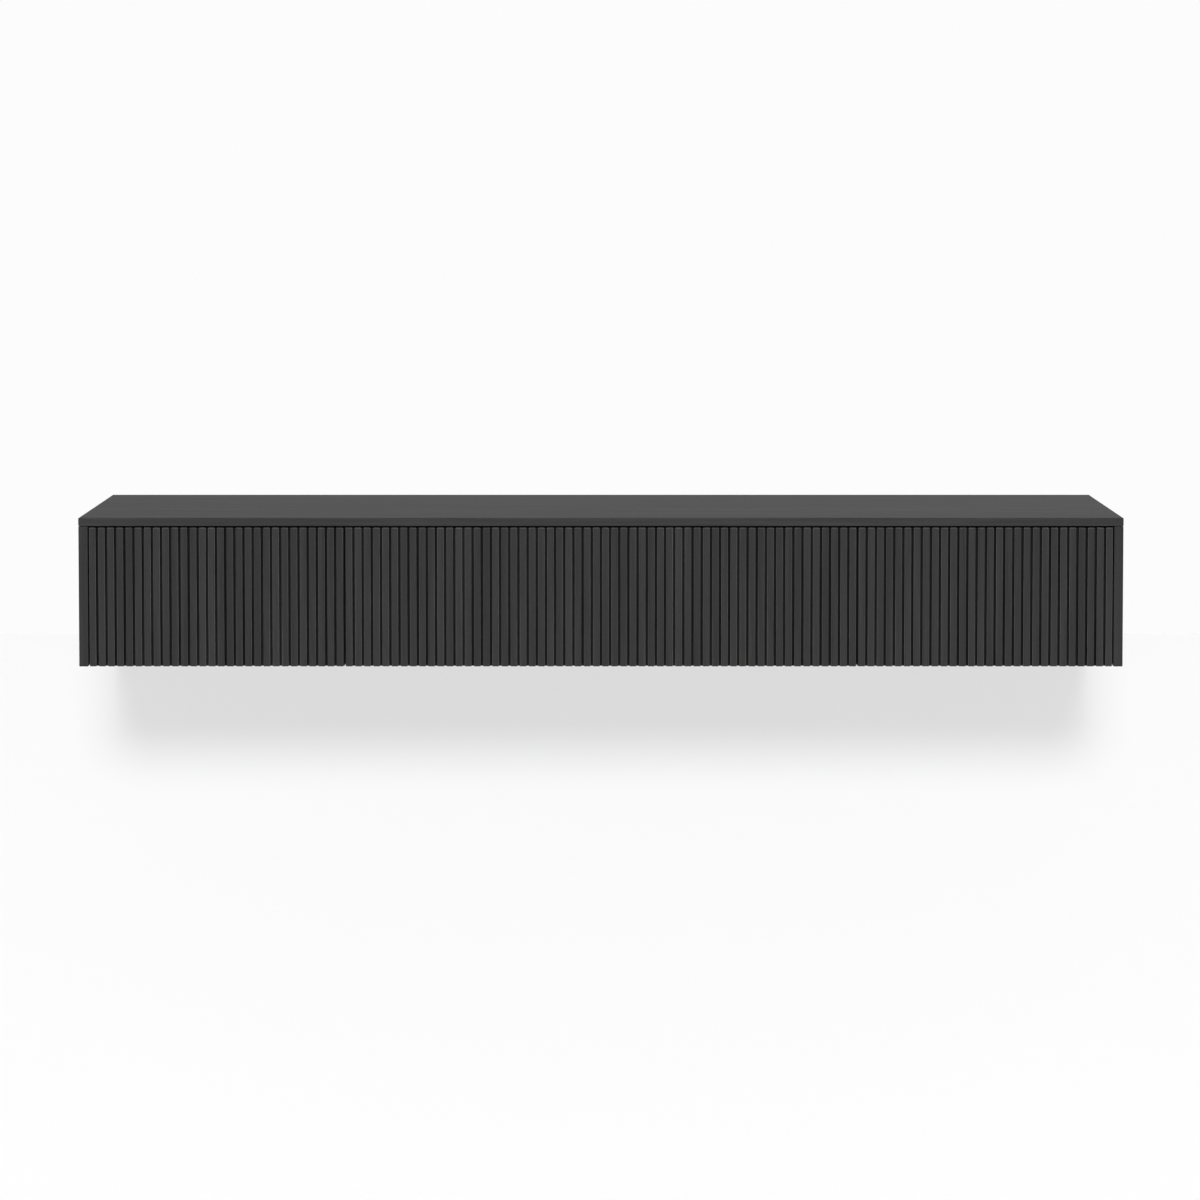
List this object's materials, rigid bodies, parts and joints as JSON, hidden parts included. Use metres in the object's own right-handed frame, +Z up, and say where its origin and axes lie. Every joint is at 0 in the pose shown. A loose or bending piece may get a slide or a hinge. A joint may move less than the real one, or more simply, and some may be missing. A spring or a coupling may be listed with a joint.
{
  "type": "floating media console",
  "caption": "Wall-hung media console with a fluted front of narrow vertical slats, push-open drawers on telescopic runners and a drop-down flap on let-in hinges.",
  "frame": {"origin": "middle of the wall cleat's back face, on the wall plane", "axes": "+X to the right seen from the front, +Y into the wall, +Z up; the fronts face -Y"},
  "size_m": [2, 0.4, 0.286],
  "materials": {
    "charcoal_wood": "matt charcoal-black stain with fine vertical grain",
    "carcass_wood": "matt black laminate",
    "birch_ply": "clear matt lacquer on birch plywood",
    "zinc_steel": "zinc-plated sheet steel",
    "nickel_steel": "nickel-plated steel",
    "grey_plastic": "moulded grey plastic",
    "black_plastic": "moulded black plastic",
    "pale_rubber": "pale soft plastic buffer"
  },
  "bodies": {
    "cabinet": {"top_panel": "charcoal_wood", "side_panel_left": "charcoal_wood", "side_panel_right": "charcoal_wood", "divider_left": "carcass_wood", "divider_right": "carcass_wood", "bottom_panel": "carcass_wood", "back_panel": "carcass_wood", "cable_grommet_left": "black_plastic", "cable_grommet_right": "black_plastic", "cabinet_cleat": "birch_ply", "wall_cleat": "birch_ply", "wall_spacer_left": "birch_ply", "wall_spacer_right": "birch_ply", "left_drawer_side_runner_rail": "zinc_steel", "left_drawer_divider_runner_rail": "zinc_steel", "right_drawer_side_runner_rail": "zinc_steel", "right_drawer_divider_runner_rail": "zinc_steel", "flap_hinge_left_cabinet_leaf": "nickel_steel", "flap_hinge_left_pin": "zinc_steel", "flap_hinge_right_cabinet_leaf": "nickel_steel", "flap_hinge_right_pin": "zinc_steel", "left_drawer_latch_housing": "grey_plastic", "right_drawer_latch_housing": "grey_plastic", "flap_left_latch_housing": "grey_plastic", "flap_right_latch_housing": "grey_plastic"},
    "left_drawer": {"left_drawer_front": "charcoal_wood", "left_drawer_box_bottom": "birch_ply", "left_drawer_box_side_panel_side": "birch_ply", "left_drawer_box_divider_side": "birch_ply", "left_drawer_box_front": "birch_ply", "left_drawer_box_back": "birch_ply", "left_drawer_side_runner_slide": "zinc_steel", "left_drawer_divider_runner_slide": "zinc_steel"},
    "left_drawer_side_carrier": {"left_drawer_side_runner_carrier": "zinc_steel"},
    "left_drawer_divider_carrier": {"left_drawer_divider_runner_carrier": "zinc_steel"},
    "right_drawer": {"right_drawer_front": "charcoal_wood", "right_drawer_box_bottom": "birch_ply", "right_drawer_box_side_panel_side": "birch_ply", "right_drawer_box_divider_side": "birch_ply", "right_drawer_box_front": "birch_ply", "right_drawer_box_back": "birch_ply", "right_drawer_side_runner_slide": "zinc_steel", "right_drawer_divider_runner_slide": "zinc_steel"},
    "right_drawer_side_carrier": {"right_drawer_side_runner_carrier": "zinc_steel"},
    "right_drawer_divider_carrier": {"right_drawer_divider_runner_carrier": "zinc_steel"},
    "flap": {"flap_front": "charcoal_wood", "flap_hinge_left_flap_leaf": "nickel_steel", "flap_left_latch_strike": "zinc_steel", "flap_hinge_right_flap_leaf": "nickel_steel", "flap_right_latch_strike": "zinc_steel"},
    "left_drawer_latch_plunger": {"left_drawer_latch_plunger": "pale_rubber"},
    "right_drawer_latch_plunger": {"right_drawer_latch_plunger": "pale_rubber"},
    "flap_left_latch_plunger": {"flap_left_latch_plunger": "pale_rubber"},
    "flap_right_latch_plunger": {"flap_right_latch_plunger": "pale_rubber"}
  },
  "joints": [
    {"name": "left_drawer_slide", "type": "slide", "parent": "cabinet", "child": "left_drawer", "axis": [0, -1, 0], "range_m": [0, 0.31]},
    {"name": "left_drawer_side_carrier_slide", "type": "slide", "parent": "cabinet", "child": "left_drawer_side_carrier", "axis": [0, -1, 0], "range_m": [0, 0.155]},
    {"name": "left_drawer_divider_carrier_slide", "type": "slide", "parent": "cabinet", "child": "left_drawer_divider_carrier", "axis": [0, -1, 0], "range_m": [0, 0.155]},
    {"name": "right_drawer_slide", "type": "slide", "parent": "cabinet", "child": "right_drawer", "axis": [0, -1, 0], "range_m": [0, 0.31]},
    {"name": "right_drawer_side_carrier_slide", "type": "slide", "parent": "cabinet", "child": "right_drawer_side_carrier", "axis": [0, -1, 0], "range_m": [0, 0.155]},
    {"name": "right_drawer_divider_carrier_slide", "type": "slide", "parent": "cabinet", "child": "right_drawer_divider_carrier", "axis": [0, -1, 0], "range_m": [0, 0.155]},
    {"name": "flap_hinge", "type": "hinge", "parent": "cabinet", "child": "flap", "pos_m": [0, -0.383, -0.1564], "axis": [1, 0, 0], "range_deg": [0, 90]},
    {"name": "left_drawer_latch_press", "type": "slide", "parent": "cabinet", "child": "left_drawer_latch_plunger", "axis": [0, 1, 0], "range_m": [0, 0.003], "stiffness_N_per_m": 300, "springref_m": -0.004},
    {"name": "right_drawer_latch_press", "type": "slide", "parent": "cabinet", "child": "right_drawer_latch_plunger", "axis": [0, 1, 0], "range_m": [0, 0.003], "stiffness_N_per_m": 300, "springref_m": -0.004},
    {"name": "flap_left_latch_press", "type": "slide", "parent": "cabinet", "child": "flap_left_latch_plunger", "axis": [0, 1, 0], "range_m": [0, 0.003], "stiffness_N_per_m": 300, "springref_m": -0.004},
    {"name": "flap_right_latch_press", "type": "slide", "parent": "cabinet", "child": "flap_right_latch_plunger", "axis": [0, 1, 0], "range_m": [0, 0.003], "stiffness_N_per_m": 300, "springref_m": -0.004}
  ],
  "couplings": [
    {"joint": "left_drawer_side_carrier_slide", "follows": "left_drawer_slide", "ratio": 0.5},
    {"joint": "left_drawer_divider_carrier_slide", "follows": "left_drawer_slide", "ratio": 0.5},
    {"joint": "right_drawer_side_carrier_slide", "follows": "right_drawer_slide", "ratio": 0.5},
    {"joint": "right_drawer_divider_carrier_slide", "follows": "right_drawer_slide", "ratio": 0.5}
  ]
}
